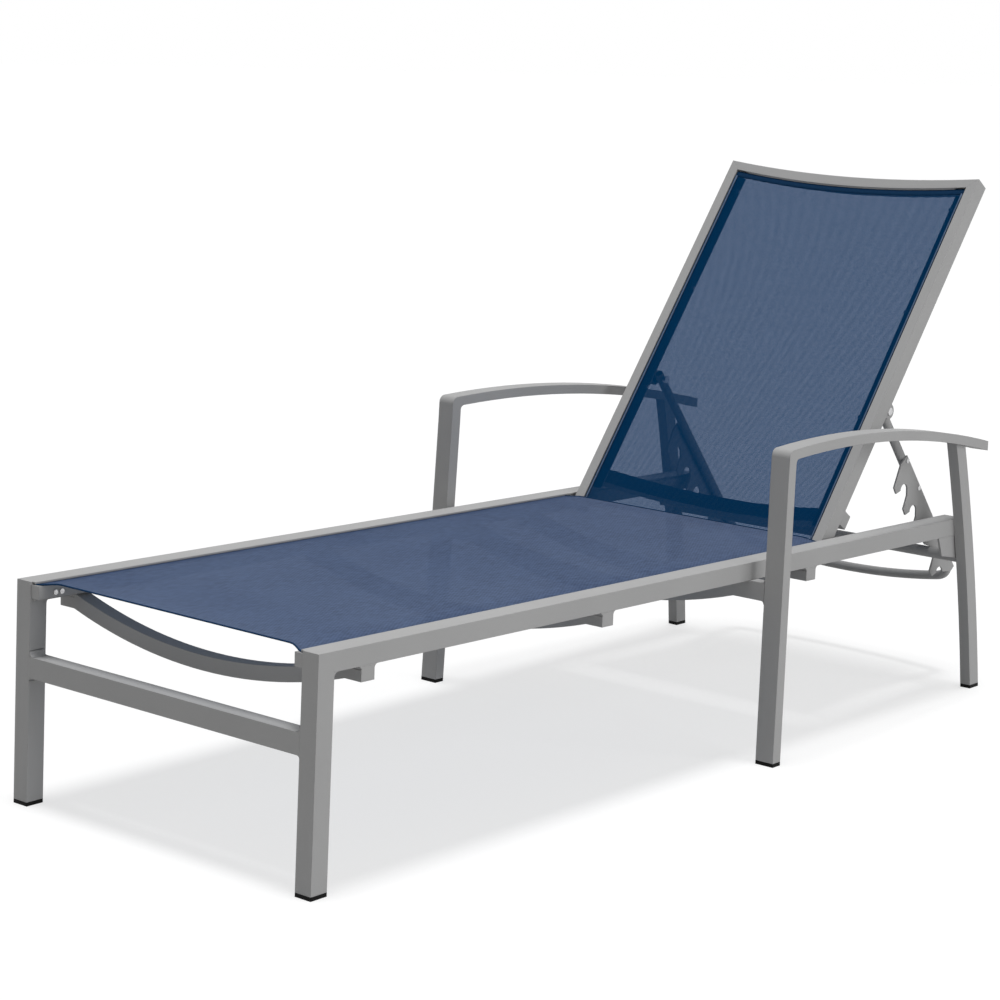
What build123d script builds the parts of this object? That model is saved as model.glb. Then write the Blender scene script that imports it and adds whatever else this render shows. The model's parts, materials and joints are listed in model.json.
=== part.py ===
from build123d import *
import math
import os

# Chaise lounge with a sling seat, arched arms and a reclining back.
# Millimetres. X is the width, Y runs from the foot end to the head end, Z is up.
# Everything is modelled from the top front edge of the foot-end legs, at floor height,
# and moved at the end so that the origin lies on the floor under the middle of the whole chaise.

os.makedirs("parts", exist_ok=True)

# Seat frame
frame_width = 620.0
rail_width = 30.0
rail_height = 28.3
rail_wall = 1.8
rail_top_front = 333.8
rail_length = 1555.0
rail_fall = 30.0
rail_fall_run = 1515.0

# Sling tracks and slings
seat_track_width = 6.5
track_start = 3.6
track_height = 24.3
track_lip_width = 10.0
sling_thickness = 0.8
slot_clearance = 0.3
groove_wall = 0.4
rod_radius = 1.2
hem_wall = 0.8
rod_fit = 0.05
seat_sling_depth = 3.6
seat_sling_start = 4.0
seat_sling_front = 18.0
seat_sling_flare = 42.0
seat_sling_end = 1184.0

# Foot-end legs and crossbar
leg_width = 30.0
leg_depth = 30.0
foot_forward = 11.5
crossbar_low = 192.0
crossbar_height = 31.3
crossbar_depth = 26.0
crossbar_weld_top = 9.0
crossbar_weld_low = 5.0
corner_weld = 7.5

# Foot caps
cap_band = 6.0
cap_plug = 18.0
cap_fit = 0.1

# Bowed cross tubes
spreader_places = (92.5, 594.0, 1108.5)
spreader_depth = 25.0
spreader_height = 22.0
spreader_kink = 279.0
spreader_sag = 41.5
spreader_weld_radius = 6.0
tube_wall = 1.6
arm_tube_place = 953.0
arm_tube_depth = 20.0
arm_tube_height = 29.0
arm_tube_weld_radius = 5.0

# Arm frames
arm_width = 33.4
arm_leg_depth = 19.6
arm_foot_outer = 377.0
arm_foot_front = 928.0
arm_top_outer = 369.0
arm_top_front = 955.0
arm_joint_drop = 42.922
armrest_thickness = 16.0
armrest_radius = 2150.0
armrest_crest_place = 1070.0
armrest_crest_height = 501.0
armrest_tip = 1593.0
armrest_rear_outer = 336.0
armrest_rear_place = 1535.0
arm_outer_round = 12.0
arm_inner_round = 8.0
arm_wall = 1.8

# Rear legs
rear_leg_width = 19.5
rear_leg_depth = 26.8
rear_leg_foot_front = 1569.5
rear_leg_mid_height = 217.0
rear_leg_mid_front = 1543.5
rear_leg_top_height = 434.0
rear_leg_top_front = 1501.1
rear_leg_lean = 1.04

# Support bar and gussets
bar_radius = 9.5
bar_seat_gap = 0.3
gusset_thickness = 4.0
gusset_front = 1487.0
gusset_toe = 1499.0
gusset_toe_height = 243.0
gusset_rear_gap = 1.0
weld_gap = 0.2
arm_tube_gap = 0.3

# Back frame, measured along the back from its pivot and across it from the pivot line
pivot_place = 1208.6
pivot_height = 296.0
back_angle = 53.19
rail_gap = 8.6
back_tube_width = 18.5
back_tube_front = 14.0
back_tube_rear = 14.2
back_tube_foot = 16.0
back_length = 721.0
back_top_sag = 16.0
back_track_wall = 6.6
back_sling_depth = 4.0
back_sling_start = -6.0
back_hem_gap = 1.0
flange_width = 20.0
flange_thickness = 2.5
flange_depth = 9.0
flange_start = 30.0
flange_end = 690.0
flange_screw_inset = 3.0
back_spreader_place = 63.0
back_spreader_kink = 238.0
back_spreader_sag = 36.0
back_spreader_inset = 2.0

# Hinge bolts
bolt_radius = 4.0
pin_fit = 0.05
bolt_head_radius = 6.5
bolt_head_height = 4.0
running_gap = 0.3
bush_radius = 8.0
nut_radius = 6.5
nut_height = 6.0

# Ladder prop
ear_place = 276.6
ear_drop = 30.8
ear_radius = 13.0
ear_thickness = 3.0
ear_front_reach = 24.0
ear_back_reach = 20.0
ear_start = 4.8
ear_head_height = 2.5
prop_angle = 52.66
prop_radius = 8.0
prop_wall = 1.5
prop_side = 237.5
prop_overhang = 13.0
prop_length = 436.5
prop_bend = 40.0
prop_bow_radius = 928.0

# Notched plates, measured along the arm from the prop pivot and forward from the arm's axis
plate_thickness = 3.0
notch_first = 145.7
notch_pitch = 51.5
notch_count = 5
notch_used = 4
notch_height = 29.4
notch_radius = 10.5
plate_back = 5.0
plate_head = 35.7
plate_head_height = 17.3
plate_tail = 34.0
root_before = 27.9
root_height = 33.6
hook_before = 15.7
hook_height = 55.5
tip_before = 2.7
tip_height = 56.6
stub_before = 21.0
stub_height = 41.0
stub_tip_before = 15.0
stub_tip_height = 40.0
rivet_radius = 2.5
rivet_head_radius = 4.2
rivet_head_height = 1.6
rivet_reach = 6.0
rivet_places = (118.0, 184.0, 290.0, 362.0)

# Track and spreader screws, and end plugs
screw_radius = 2.0
screw_head_radius = 4.0
screw_head_height = 1.8
screw_tip = 3.0
track_screw_places = (32.0, 43.5)
track_screw_height = 16.6
track_screw_length = 6.0
flange_screw_places = (240.0, 450.0, 660.0)
plug_depth = 15.0
plug_lip = 2.0
plug_fit = 0.1

overrun = 20.0
tall_cut = 300.0

# Values that follow from the sizes above
half_width = frame_width / 2
rail_box_inner = half_width - rail_width
rail_inner = rail_box_inner - seat_track_width
track_inner = rail_inner - track_lip_width
rail_angle = math.degrees(math.atan(rail_fall / rail_fall_run))
groove_radius = rod_radius + hem_wall + slot_clearance
hem_radius = rod_radius + hem_wall
slot_half = sling_thickness / 2 + slot_clearance
groove_side = rail_box_inner - groove_wall - groove_radius
track_lip_depth = seat_sling_depth + slot_half
back_outer = rail_inner - rail_gap
back_inner = back_outer - back_tube_width
back_groove_side = back_inner + back_track_wall - groove_radius
back_spreader_reach = back_outer - back_spreader_inset
back_sling_level = back_tube_front - back_sling_depth
back_corner = back_length - back_tube_width
back_sling_end = back_corner - back_hem_gap
arm_run = armrest_rear_place - arm_top_front
arm_turn = math.degrees(math.atan((arm_top_outer - armrest_rear_outer) / arm_run))
arch_centre_height = armrest_crest_height - armrest_radius
arm_corner_rise = math.sqrt(armrest_radius ** 2 - (arm_top_front - armrest_crest_place) ** 2)
arm_corner_height = arch_centre_height + arm_corner_rise
arm_joint_height = arm_corner_height - arm_joint_drop
flange_screw_side = back_inner - flange_width + flange_screw_inset
spreader_screw_side = (spreader_kink + half_width) / 2
prop_bow_centre = prop_length - prop_bow_radius
prop_straight = prop_bow_centre + math.sqrt((prop_bow_radius - prop_bend) ** 2 - (prop_side - prop_bend) ** 2)

seat_frame = Pos(0, 0, rail_top_front) * Rot(-rail_angle, 0, 0)
back_frame = Pos(0, pivot_place, pivot_height) * Rot(back_angle, 0, 0)
arm_pivot = Pos(arm_top_outer, arm_top_front, 0)
arm_turning = arm_pivot * Rot(0, 0, arm_turn) * Pos(-arm_top_outer, -arm_top_front, 0)

parts = {}


def block(x_low, x_high, y_low, y_high, z_low, z_high):
    """A box between two corners."""
    middle = Pos((x_low + x_high) / 2, (y_low + y_high) / 2, (z_low + z_high) / 2)
    return middle * Box(x_high - x_low, y_high - y_low, z_high - z_low)


def rod_x(x_low, x_high, y, z, radius):
    """A round bar along X."""
    return Pos((x_low + x_high) / 2, y, z) * Rot(0, 90, 0) * Cylinder(radius, x_high - x_low)


def rod_y(x, y_low, y_high, z, radius):
    """A round bar along Y."""
    return Pos(x, (y_low + y_high) / 2, z) * Rot(90, 0, 0) * Cylinder(radius, y_high - y_low)


def rod_z(x, y, z_low, z_high, radius):
    """A round bar along Z."""
    return Pos(x, y, (z_low + z_high) / 2) * Cylinder(radius, z_high - z_low)


def side_plate(edges, x_low, x_high):
    """A closed outline in a side plane, thick along X. The edges are drawn at x = 0."""
    return Pos(x_low, 0, 0) * extrude(make_face(edges), amount=x_high - x_low, dir=(1, 0, 0))


def side_polygon(points):
    """A closed run of straight edges through (y, z) points."""
    return Polyline(*[(0, y, z) for y, z in points], close=True)


def mirrored(solid):
    """The same piece on the other side of the middle plane."""
    return mirror(solid, about=Plane.YZ)


def add_one(name, piece):
    """Store one piece as a node."""
    parts[name] = [piece]


def add_pair(name, piece):
    """Store a piece of the right side and its mirrored left twin as two nodes."""
    add_one(name + "_right", piece)
    add_one(name + "_left", mirrored(piece))


def add_group(name, pieces):
    """Store several separate pieces as one node."""
    parts[name] = pieces


def both_sides(solid):
    """A piece of the right side with its mirrored twin."""
    return [solid, mirrored(solid)]


# Seat rails


def sling_groove(side, y_low, y_high, level, mouth):
    """The room for a sling's hem and rod, with its slot towards the middle."""
    channel = rod_y(side, y_low, y_high, level, groove_radius)
    slot = block(mouth, side, y_low, y_high, level - slot_half, level + slot_half)
    return channel + slot


def seat_rail():
    """A hollow box rail with the sling track on its inner side, mitred at the foot end."""
    box = block(rail_box_inner, half_width, -overrun, rail_length, -rail_height, 0)
    hollow = block(rail_box_inner + rail_wall, half_width - rail_wall, -overrun - overrun,
                   rail_length + overrun, rail_wall - rail_height, -rail_wall)
    mitre = Plane(origin=(0, 0, rail_top_front), x_dir=(1, 0, 0), z_dir=(0, rail_height, leg_depth))
    box = split(seat_frame * (box - hollow), bisect_by=mitre, keep=Keep.TOP)
    track = block(rail_inner, rail_box_inner, track_start, rail_length, -rail_height, 0)
    groove = sling_groove(groove_side, track_start - overrun, rail_length + overrun,
                          -seat_sling_depth, rail_inner - overrun)
    rail = box + seat_frame * (track + track_lip() - groove)
    bolt_hole = rod_x(rail_inner - overrun, rail_box_inner + rail_wall + overrun / 2,
                      pivot_place, pivot_height, bolt_radius)
    for place in spreader_places:
        rail = rail - seat_frame * Pos(0, place, -rail_height) * spreader_screw_shank()
    for place in track_screw_places:
        rail = rail - seat_frame * track_screw_shank(place)
    return rail - bolt_hole


def track_lip():
    """The hollow ledge of the track, which reaches in under the sling."""
    ledge = block(track_inner, rail_inner, track_start, seat_sling_end, -track_height, -track_lip_depth)
    return ledge - block(track_inner + rail_wall, rail_inner, track_start - overrun, seat_sling_end + overrun,
                         rail_wall - track_height, -track_lip_depth - rail_wall)


def spreader_screw_shank():
    """A screw's shank through the flat end of a spreader and the wall of the rail above it."""
    return rod_z(spreader_screw_side, 0, -spreader_height, rail_wall + screw_tip, screw_radius)


def track_screw_shank(place):
    """A screw's shank in the inner side of a seat track."""
    return rod_x(track_inner, track_inner + track_screw_length, place, -track_screw_height, screw_radius)


# Foot-end legs


def foot_front(height):
    """The front face of a foot-end leg at a height."""
    return -foot_forward * (1 - height / rail_top_front)


def foot_leg_body(z_low, z_high, inset):
    """A length of the leaning foot-end leg, drawn in by a wall."""
    points = [
        (foot_front(z_low) + inset, z_low),
        (foot_front(z_low) + leg_depth - inset, z_low),
        (foot_front(z_high) + leg_depth - inset, z_high),
        (foot_front(z_high) + inset, z_high),
    ]
    return side_plate(side_polygon(points), half_width - leg_width + inset, half_width - inset)


def foot_leg():
    """A hollow square leg, mitred to the rail."""
    leg = foot_leg_body(cap_band, rail_top_front + overrun, 0)
    hollow = foot_leg_body(cap_band - overrun, rail_top_front + overrun + overrun, rail_wall)
    mitre = Plane(origin=(0, 0, rail_top_front), x_dir=(1, 0, 0), z_dir=(0, rail_height, leg_depth))
    return split(leg - hollow, bisect_by=mitre, keep=Keep.BOTTOM)


def foot_leg_cap():
    """A plastic foot with a plug up the leg."""
    band = foot_leg_body(0, cap_band, 0)
    return band + foot_leg_body(cap_band, cap_band + cap_plug, rail_wall + cap_fit)


def crossbar_body(half_length, inset):
    """The foot crossbar, flush with the leaning leg fronts."""
    z_low = crossbar_low + inset
    z_high = crossbar_low + crossbar_height - inset
    points = [
        (foot_front(z_low) + inset, z_low),
        (foot_front(z_low) + crossbar_depth - inset, z_low),
        (foot_front(z_high) + crossbar_depth - inset, z_high),
        (foot_front(z_high) + inset, z_high),
    ]
    return side_plate(side_polygon(points), -half_length, half_length)


def foot_crossbar():
    """A hollow bar between the foot-end legs."""
    reach = half_width - leg_width
    return crossbar_body(reach, 0) - crossbar_body(reach + overrun, rail_wall)


# Bowed cross tubes


def bow_body(kink, reach, depth, height, sag, inset):
    """A tube with flat ends and an arched middle, its flat top at z = 0 and its middle at y = 0."""
    radius = (kink ** 2 + sag ** 2) / (2 * sag)
    centre = radius - height - sag
    low_radius = radius - inset
    high_radius = radius - height + inset
    low = inset - height
    high = -inset
    low_kink = math.sqrt(low_radius ** 2 - (centre - low) ** 2)
    high_kink = math.sqrt(high_radius ** 2 - (centre - high) ** 2)
    edges = [
        Line((-reach, 0, high), (-high_kink, 0, high)),
        ThreePointArc((-high_kink, 0, high), (0, 0, centre - high_radius), (high_kink, 0, high)),
        Line((high_kink, 0, high), (reach, 0, high)),
        Line((reach, 0, high), (reach, 0, low)),
        Line((reach, 0, low), (low_kink, 0, low)),
        ThreePointArc((low_kink, 0, low), (0, 0, centre - low_radius), (-low_kink, 0, low)),
        Line((-low_kink, 0, low), (-reach, 0, low)),
        Line((-reach, 0, low), (-reach, 0, high)),
    ]
    width = depth - inset - inset
    return Pos(0, -width / 2, 0) * extrude(make_face(edges), amount=width, dir=(0, 1, 0))


def bowed_tube(kink, reach, depth, height, sag):
    """A hollow bowed tube, open at both ends."""
    hollow = bow_body(kink, reach + overrun, depth, height, sag, tube_wall)
    return bow_body(kink, reach, depth, height, sag, 0) - hollow


def end_plate(outer):
    """A plate that closes the end of a spreader."""
    side = spreader_depth / 2 - tube_wall
    return block(outer - tube_wall, outer, -side, side, tube_wall - spreader_height, -tube_wall)


def spreader_welds(inner, outer):
    """The rounded welds in front of and behind the flat end of a spreader."""
    radius = spreader_weld_radius
    front = -spreader_depth / 2
    bead = block(inner, outer, front - radius, front, -radius, 0)
    bead = bead - rod_x(inner - overrun, outer + overrun, front - radius, -radius, radius)
    return [bead, mirror(bead, about=Plane.XZ)]


def seat_spreader(place):
    """One spreader, its flat ends under the rails."""
    tube = bowed_tube(spreader_kink, half_width, spreader_depth, spreader_height, spreader_sag)
    shank = spreader_screw_shank()
    return seat_frame * Pos(0, place, -rail_height) * (tube - shank - mirrored(shank))


def spreader_screws():
    """Screws from below through the flat ends of each spreader."""
    head_low = -spreader_height - screw_head_height
    head = rod_z(spreader_screw_side, 0, head_low, -spreader_height, screw_head_radius)
    screw = spreader_screw_shank() + head
    return [
        seat_frame * Pos(0, place, -rail_height) * piece
        for place in spreader_places
        for piece in both_sides(screw)
    ]


def arm_tube_reach():
    """Where the arm legs' inner faces stand at the height of the arm cross tube."""
    height = rail_top_front - rail_height
    return arm_outer_at(height) - arm_width - arm_tube_gap


def arm_cross_tube():
    """The heavier cross tube, reaching out to the arm legs."""
    tube = bowed_tube(spreader_kink, arm_tube_reach(), arm_tube_depth, arm_tube_height, spreader_sag)
    return seat_frame * Pos(0, arm_tube_place, -rail_height) * tube


def spreader_end_plates():
    """The plates in the ends of the seat spreaders."""
    return [
        seat_frame * Pos(0, place, -rail_height) * piece
        for place in spreader_places
        for piece in both_sides(end_plate(half_width))
    ]


def corner_weld_bead():
    """The rounded weld in the corner between a rail's underside and the rear of its leg."""
    fall = rail_fall / rail_fall_run
    height = rail_top_front - rail_height / math.cos(math.radians(rail_angle))
    place = foot_front(height) + leg_depth
    corner = (0, place, height - fall * place)
    along = (0, place + corner_weld, corner[2] - fall * corner_weld)
    down = (0, foot_front(corner[2] - corner_weld) + leg_depth, corner[2] - corner_weld)
    reach = corner_weld * (1 - math.sqrt(0.5))
    middle = (0, place + reach, corner[2] - reach)
    edges = [Line(corner, along), ThreePointArc(along, middle, down), Line(down, corner)]
    return side_plate(edges, rail_box_inner, half_width)


def crossbar_weld(height, rise):
    """A rounded weld between a leg and the crossbar, rising or hanging from a height."""
    radius = abs(rise)
    low = min(height, height + rise)
    high = max(height, height + rise)
    front = foot_front(high)
    rear = foot_front(low) + crossbar_depth
    bead = block(rail_box_inner - radius, rail_box_inner, front, rear, low, high)
    return bead - rod_y(rail_box_inner - radius, front - overrun, rear + overrun, height + rise, radius)


def arm_tube_weld(height, rise):
    """A rounded weld at the outer end of the arm cross tube, rising or hanging from a height."""
    side = arm_tube_reach() - weld_gap
    half = arm_tube_depth / 2
    bead = block(side - abs(rise), side, -half, half, min(height, height + rise), max(height, height + rise))
    bead = bead - rod_y(side - abs(rise), -half - overrun, half + overrun, height + rise, abs(rise))
    return seat_frame * Pos(0, arm_tube_place, -rail_height) * bead


def frame_welds():
    """The rounded welds of the seat frame."""
    beads = [
        corner_weld_bead(),
        crossbar_weld(crossbar_low + crossbar_height, crossbar_weld_top),
        crossbar_weld(crossbar_low, -crossbar_weld_low),
        arm_tube_weld(0, arm_tube_weld_radius),
        arm_tube_weld(-arm_tube_height, -arm_tube_weld_radius),
    ]
    for place in spreader_places:
        for bead in spreader_welds(rail_box_inner, half_width):
            beads.append(seat_frame * Pos(0, place, -rail_height) * bead)
    return [piece for bead in beads for piece in both_sides(bead)]


# Arm frames


def arm_outer_at(height):
    """The outer face of an arm's front leg at a height."""
    return arm_foot_outer - (arm_foot_outer - arm_top_outer) * height / arm_joint_height


def arm_front_at(height):
    """The front face of an arm's front leg at a height."""
    lean = (arm_top_front - arm_foot_front) / arm_corner_height
    return arm_foot_front + lean * height


def arch_height(place, radius):
    """The height of the armrest's arch at a place along Y."""
    return arch_centre_height + math.sqrt(radius ** 2 - (place - armrest_crest_place) ** 2)


def arm_leg_section(height, inset):
    """A level section of the arm's front leg."""
    outer = arm_outer_at(height) - inset
    inner = arm_outer_at(height) - arm_width + inset
    front = arm_front_at(height) + inset
    rear = arm_front_at(height) + arm_leg_depth - inset
    corners = [(inner, front, height), (outer, front, height), (outer, rear, height), (inner, rear, height)]
    section = make_face(Polyline(*corners, close=True))
    if height >= arm_joint_height:
        return arm_turning * section
    return section


def arm_leg_body(z_low, z_high, inset):
    """A length of the arm's front leg."""
    return loft([arm_leg_section(z_low, inset), arm_leg_section(z_high, inset)], ruled=True)


def armrest_body(inset, tip):
    """The armrest with the top of its front leg, before it is turned inwards."""
    top_radius = armrest_radius - inset
    under_radius = armrest_radius - armrest_thickness + inset
    base = arm_joint_height
    front_low = arm_front_at(base) + inset
    front_high = arm_front_at(arch_height(arm_top_front, top_radius)) + inset
    rear_low = arm_front_at(base) + arm_leg_depth - inset
    rear_high = arm_front_at(arch_height(arm_top_front, under_radius)) + arm_leg_depth - inset
    front_top = (0, front_high, arch_height(front_high, top_radius))
    tip_top = (0, tip, arch_height(tip, top_radius))
    tip_under = (0, tip, arch_height(tip, under_radius))
    rear_top = (0, rear_high, arch_height(rear_high, under_radius))
    crest = (0, armrest_crest_place, arch_centre_height + top_radius)
    under = (0, armrest_crest_place, arch_centre_height + under_radius)
    edges = [
        Line((0, front_low, base), front_top),
        ThreePointArc(front_top, crest, tip_top),
        Line(tip_top, tip_under),
        ThreePointArc(tip_under, under, rear_top),
        Line(rear_top, (0, rear_low, base)),
        Line((0, rear_low, base), (0, front_low, base)),
    ]
    body = side_plate(edges, arm_top_outer - arm_width + inset, arm_top_outer - inset)
    corner = body.edges().filter_by(Axis.X).sort_by_distance(front_top)[0]
    body = fillet(corner, arm_outer_round - inset)
    crook = body.edges().filter_by(Axis.X).sort_by_distance(rear_top)[0]
    return fillet(crook, arm_inner_round + inset)


def arm_frame():
    """Front leg and arched armrest as one hollow flat tube."""
    outside = arm_leg_body(cap_band, arm_joint_height, 0) + arm_turning * armrest_body(0, armrest_tip)
    leg_hollow = arm_leg_body(cap_band - overrun, arm_joint_height, arm_wall)
    rest_hollow = arm_turning * armrest_body(arm_wall, armrest_tip + overrun)
    return outside - leg_hollow - rest_hollow


def arm_leg_cap():
    """A plastic foot with a plug up the arm's front leg."""
    inside = arm_leg_body(cap_band - overrun, arm_joint_height, arm_wall + cap_fit)
    room = block(0, frame_width, 0, rail_length, cap_band, cap_band + cap_plug)
    return arm_leg_body(0, cap_band, 0) + (inside & room)


def armrest_plug():
    """The plug in the rear end of an armrest."""
    inside = armrest_body(arm_wall + plug_fit, armrest_tip)
    box = block(0, half_width + half_width, armrest_tip - plug_depth, armrest_tip + overrun, 0,
                armrest_crest_height + overrun)
    return arm_turning * (inside & box)


# Rear legs


def rear_leg_front(height):
    """The front face of the curved rear leg at a height, along a circle through three points."""
    a = (rear_leg_foot_front, 0)
    b = (rear_leg_mid_front, rear_leg_mid_height)
    c = (rear_leg_top_front, rear_leg_top_height)
    span = 2 * (a[0] * (b[1] - c[1]) + b[0] * (c[1] - a[1]) + c[0] * (a[1] - b[1]))
    squares = [p[0] ** 2 + p[1] ** 2 for p in (a, b, c)]
    y = (squares[0] * (b[1] - c[1]) + squares[1] * (c[1] - a[1]) + squares[2] * (a[1] - b[1])) / span
    z = (squares[0] * (c[0] - b[0]) + squares[1] * (a[0] - c[0]) + squares[2] * (b[0] - a[0])) / span
    radius = math.hypot(a[0] - y, a[1] - z)
    return y + math.sqrt(radius ** 2 - (height - z) ** 2)


def rear_leg_body(z_low, z_high, inset):
    """A length of the curved rear leg, leaning inwards as it rises."""
    z_mid = (z_low + z_high) / 2
    front = [(0, rear_leg_front(z) + inset, z) for z in (z_low, z_mid, z_high)]
    rear = [(0, rear_leg_front(z) + rear_leg_depth - inset, z) for z in (z_low, z_mid, z_high)]
    edges = [
        ThreePointArc(*front),
        Line(front[2], rear[2]),
        ThreePointArc(rear[2], rear[1], rear[0]),
        Line(rear[0], front[0]),
    ]
    rail_level = rail_top_front - rail_fall
    foot_inner = half_width + rail_level * math.tan(math.radians(rear_leg_lean))
    body = side_plate(edges, inset, rear_leg_width - inset)
    return Pos(foot_inner, 0, 0) * Rot(0, -rear_leg_lean, 0) * body


def above_armrest_underside():
    """All the room above the underside of the armrest."""
    radius = armrest_radius - armrest_thickness
    start = armrest_crest_place
    stop = armrest_tip + overrun
    middle = (start + stop) / 2
    roof = armrest_crest_height + tall_cut
    low_start = (0, start, arch_height(start, radius))
    low_stop = (0, stop, arch_height(stop, radius))
    edges = [
        ThreePointArc(low_start, (0, middle, arch_height(middle, radius)), low_stop),
        Line(low_stop, (0, stop, roof)),
        Line((0, stop, roof), (0, start, roof)),
        Line((0, start, roof), low_start),
    ]
    return arm_turning * side_plate(edges, 0, frame_width)


def rear_leg():
    """A hollow rear leg from its foot cap up to the armrest."""
    top = armrest_crest_height
    leg = rear_leg_body(cap_band, top, 0) - rear_leg_body(cap_band - overrun, top + overrun, rail_wall)
    return leg - above_armrest_underside()


def rear_leg_cap():
    """A plastic foot with a plug up the rear leg."""
    return rear_leg_body(0, cap_band, 0) + rear_leg_body(cap_band, cap_band + cap_plug, rail_wall + cap_fit)


# Support bar, which the prop hangs on


def back_point(along, across):
    """A point of the tilted back, from its distances along and in front of the pivot line."""
    turn = math.radians(back_angle)
    y = pivot_place + along * math.cos(turn) - across * math.sin(turn)
    z = pivot_height + along * math.sin(turn) + across * math.cos(turn)
    return y, z


def prop_point(along, forward):
    """A point of the prop, from its distances along the arm and in front of its axis."""
    turn = math.radians(prop_angle)
    ear_y, ear_z = back_point(ear_place, -ear_drop)
    y = ear_y + along * math.cos(turn) - forward * math.sin(turn)
    z = ear_z - along * math.sin(turn) - forward * math.cos(turn)
    return y, z


def notch_seat(number):
    """The centre of a notch, straight below its ceiling when the prop stands."""
    turn = math.radians(prop_angle)
    along = notch_first + notch_pitch * (number - 1) + notch_radius * math.sin(turn)
    return along, notch_height + notch_radius * math.cos(turn)


def bar_centre():
    """The support bar, just under the ceiling of the notch in use."""
    y, z = prop_point(*notch_seat(notch_used))
    return y, z + notch_radius - bar_radius - bar_seat_gap


def rear_leg_inner(height):
    """The inner face of the rear leg at a height."""
    rail_level = rail_top_front - rail_fall
    return half_width + (rail_level - height) * math.tan(math.radians(rear_leg_lean))


def support_bar():
    """A round tube from one rear leg to the other."""
    y, z = bar_centre()
    reach = rear_leg_inner(z) - weld_gap
    return rod_x(-reach, reach, y, z, bar_radius) - rod_x(-reach - overrun, reach + overrun, y, z,
                                                          bar_radius - tube_wall)


def bar_gusset():
    """A plate from the rail down to the support bar, in front of the rear leg."""
    y, z = bar_centre()
    rail_under = rail_top_front - rail_height
    fall = rail_fall / rail_fall_run
    points = [
        (gusset_front, rail_under - fall * gusset_front - weld_gap),
        (gusset_toe, gusset_toe_height),
        (y - bar_radius, z),
        (y, z),
        (y, rail_under - fall * y - weld_gap),
    ]
    outer = half_width - gusset_rear_gap
    plate = side_plate(side_polygon(points), outer - gusset_thickness, outer)
    return plate - rod_x(0, half_width + overrun, y, z, bar_radius)


# Slings


def seat_sling():
    """The flat seat sling, its front edge drawn in, with a hem tube along each rail."""
    side = groove_side
    inner = side - seat_sling_flare
    low = -seat_sling_depth - sling_thickness / 2
    corners = [
        (-side, seat_sling_end, low),
        (side, seat_sling_end, low),
        (side, seat_sling_start, low),
        (inner, seat_sling_front, low),
        (-inner, seat_sling_front, low),
        (-side, seat_sling_start, low),
    ]
    sheet = extrude(make_face(Polyline(*corners, close=True)), amount=sling_thickness, dir=(0, 0, 1))
    hem = rod_y(groove_side, seat_sling_start, seat_sling_end, -seat_sling_depth, hem_radius)
    bore = rod_y(groove_side, seat_sling_start - overrun, seat_sling_end + overrun, -seat_sling_depth,
                 rod_radius + rod_fit)
    return seat_frame * (sheet + hem + mirrored(hem) - bore - mirrored(bore))


def seat_sling_rods():
    """A rod in each hem of the seat sling."""
    rod = rod_y(groove_side, seat_sling_start, seat_sling_end, -seat_sling_depth, rod_radius)
    return [seat_frame * piece for piece in both_sides(rod)]


def back_sling():
    """The flat back sling, cut round below the top rail, with a hem tube along each back tube."""
    level = back_sling_level - sling_thickness / 2
    side = back_groove_side
    arc_start = (back_inner, back_sling_end, level)
    arc_end = (-back_inner, back_sling_end, level)
    edges = [
        Line((-side, back_sling_end, level), (-side, back_sling_start, level)),
        Line((-side, back_sling_start, level), (side, back_sling_start, level)),
        Line((side, back_sling_start, level), (side, back_sling_end, level)),
        Line((side, back_sling_end, level), arc_start),
        ThreePointArc(arc_start, (0, back_sling_end - back_top_sag, level), arc_end),
        Line(arc_end, (-side, back_sling_end, level)),
    ]
    sheet = extrude(make_face(edges), amount=sling_thickness, dir=(0, 0, 1))
    hem = rod_y(side, back_sling_start, back_sling_end, back_sling_level, hem_radius)
    bore = rod_y(side, back_sling_start - overrun, back_sling_end + overrun, back_sling_level,
                 rod_radius + rod_fit)
    return back_frame * (sheet + hem + mirrored(hem) - bore - mirrored(bore))


def back_sling_rods():
    """A rod in each hem of the back sling."""
    rod = rod_y(back_groove_side, back_sling_start, back_sling_end, back_sling_level, rod_radius)
    return [back_frame * piece for piece in both_sides(rod)]


# Back frame


def back_tube():
    """A side tube of the back, with its sling groove and track flange."""
    outline = Polyline((back_inner, -back_tube_foot, 0), (back_outer, -back_tube_foot, 0),
                       (back_outer, back_length, 0), (back_inner, back_corner, 0), close=True)
    depth = back_tube_front + back_tube_rear
    tube = Pos(0, 0, -back_tube_rear) * extrude(make_face(outline), amount=depth, dir=(0, 0, 1))
    hollow = block(back_inner + back_track_wall, back_outer - rail_wall, -back_tube_foot - overrun,
                   back_corner - rail_wall, rail_wall - back_tube_rear, back_tube_front - rail_wall)
    groove = sling_groove(back_groove_side, -back_tube_foot - overrun, back_corner,
                          back_sling_level, back_inner - overrun)
    flange_top = back_tube_front - flange_depth
    flange = block(back_inner - flange_width, back_inner, flange_start, flange_end,
                   flange_top - flange_thickness, flange_top)
    pivot_bore = rod_x(0, back_outer + overrun, 0, 0, bolt_radius + pin_fit)
    tube = tube - hollow - groove + flange - pivot_bore
    for shank in flange_screw_shanks():
        tube = tube - shank
    return back_frame * tube


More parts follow.
